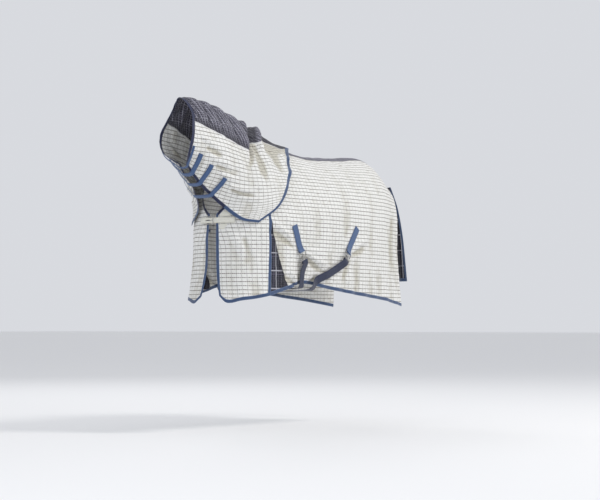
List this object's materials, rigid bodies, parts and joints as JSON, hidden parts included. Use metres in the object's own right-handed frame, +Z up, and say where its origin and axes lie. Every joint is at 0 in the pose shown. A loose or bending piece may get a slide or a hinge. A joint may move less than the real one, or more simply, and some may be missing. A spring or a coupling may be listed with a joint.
{
  "type": "horse fly sheet",
  "caption": "Horse fly sheet with neck cover: checked mesh panels, gathered plaid crest, gussets, tail flap, chest buckle and crossed surcingles.",
  "frame": {"origin": "on the horse's back under the spine strip, about the middle of the back", "axes": "the horse faces -Y, its left side is +X, +Z up"},
  "size_m": [0.6586, 2.0312, 1.071],
  "materials": {
    "fly_mesh": "fine woven mesh, matt",
    "plaid_cotton": "woven check cotton, matt",
    "blue_binding": "folded tape, soft sheen",
    "blue_webbing": "twill webbing, soft sheen",
    "cream_webbing": "flat webbing, matt",
    "satin_lining": "satin",
    "nickel": "bright nickel plate"
  },
  "bodies": {
    "sheet": {"body_hem_binding_left": "blue_binding", "body_hem_binding_right": "blue_binding", "body_side_left": "fly_mesh", "body_side_right": "fly_mesh", "chest_buckle_frame": "nickel", "chest_buckle_tab": "cream_webbing", "chest_patch_lower": "cream_webbing", "chest_patch_upper": "cream_webbing", "chest_strap": "cream_webbing", "front_edge_binding_left": "blue_binding", "front_edge_binding_right": "blue_binding", "front_hem_binding_left": "blue_binding", "front_hem_binding_right": "blue_binding", "front_lining_left": "satin_lining", "front_lining_right": "satin_lining", "front_panel_left": "fly_mesh", "front_panel_right": "fly_mesh", "front_surcingle_anchor": "blue_webbing", "front_surcingle_patch": "blue_webbing", "front_surcingle_ring": "nickel", "gusset_hem_binding_left": "blue_binding", "gusset_hem_binding_right": "blue_binding", "gusset_seam_binding_left": "blue_binding", "gusset_seam_binding_right": "blue_binding", "neckline_binding_left": "blue_binding", "neckline_binding_right": "blue_binding", "rear_surcingle_anchor": "blue_webbing", "rear_surcingle_patch": "blue_webbing", "rear_surcingle_ring": "nickel", "shoulder_gusset_left": "plaid_cotton", "shoulder_gusset_right": "plaid_cotton", "spine_strip": "plaid_cotton"},
    "neck_cover": {"cape_binding_left": "blue_binding", "cape_binding_right": "blue_binding", "crest_piping_left": "cream_webbing", "crest_piping_right": "cream_webbing", "face_binding_left": "blue_binding", "face_binding_right": "blue_binding", "neck_crest": "plaid_cotton", "neck_side_left": "fly_mesh", "neck_side_right": "fly_mesh", "throat_binding_left": "blue_binding", "throat_binding_right": "blue_binding", "withers_crest": "plaid_cotton"},
    "tail_flap": {"tail_flap": "plaid_cotton", "tail_flap_binding": "blue_binding"},
    "chest_prong": {"chest_buckle_prong": "nickel"},
    "front_surcingle": {"front_surcingle": "blue_webbing", "front_surcingle_hook": "nickel"},
    "rear_surcingle": {"rear_surcingle": "blue_webbing", "rear_surcingle_hook": "nickel"},
    "throat_strap_1": {"throat_strap_1": "blue_webbing"},
    "throat_strap_2": {"throat_strap_2": "blue_webbing"},
    "throat_strap_3": {"throat_strap_3": "blue_webbing"},
    "throat_strap_4": {"throat_strap_4": "blue_webbing"}
  },
  "joints": [
    {"name": "neck_raise", "type": "hinge", "parent": "sheet", "child": "neck_cover", "pos_m": [0, -0.325, 0.03], "axis": [-1, 0, 0], "range_deg": [0, 18]},
    {"name": "tail_flap_lift", "type": "hinge", "parent": "sheet", "child": "tail_flap", "pos_m": [0, 0.628, -0.112], "axis": [1, 0, 0], "range_deg": [0, 100]},
    {"name": "chest_prong_turn", "type": "hinge", "parent": "sheet", "child": "chest_prong", "pos_m": [-0.026, -0.9805, -0.398], "axis": [0, 0, -1], "range_deg": [0, 75]},
    {"name": "front_surcingle_sway", "type": "hinge", "parent": "sheet", "child": "front_surcingle", "pos_m": [0.3006, -0.5608, -0.5845], "axis": [-0.8388, 0.5417, 0.0541], "range_deg": [-2, 3]},
    {"name": "rear_surcingle_sway", "type": "hinge", "parent": "sheet", "child": "rear_surcingle", "pos_m": [0.3247, -0.1817, -0.5729], "axis": [-0.8441, -0.5355, 0.0278], "range_deg": [-3, 1.5]},
    {"name": "throat_strap_1_open", "type": "hinge", "parent": "neck_cover", "child": "throat_strap_1", "pos_m": [-0.1126, -1.2471, -0.0334], "axis": [-0.0761, 0.9485, -0.3076], "range_deg": [0, 75]},
    {"name": "throat_strap_2_open", "type": "hinge", "parent": "neck_cover", "child": "throat_strap_2", "pos_m": [-0.1113, -1.1891, -0.0692], "axis": [-0.1022, 0.9201, -0.3781], "range_deg": [0, 75]},
    {"name": "throat_strap_3_open", "type": "hinge", "parent": "neck_cover", "child": "throat_strap_3", "pos_m": [-0.1207, -1.1139, -0.1206], "axis": [-0.1844, 0.8126, -0.5529], "range_deg": [0, 75]},
    {"name": "throat_strap_4_open", "type": "hinge", "parent": "neck_cover", "child": "throat_strap_4", "pos_m": [-0.1423, -1.03, -0.1848], "axis": [-0.3003, 0.8042, -0.5129], "range_deg": [0, 75]}
  ]
}
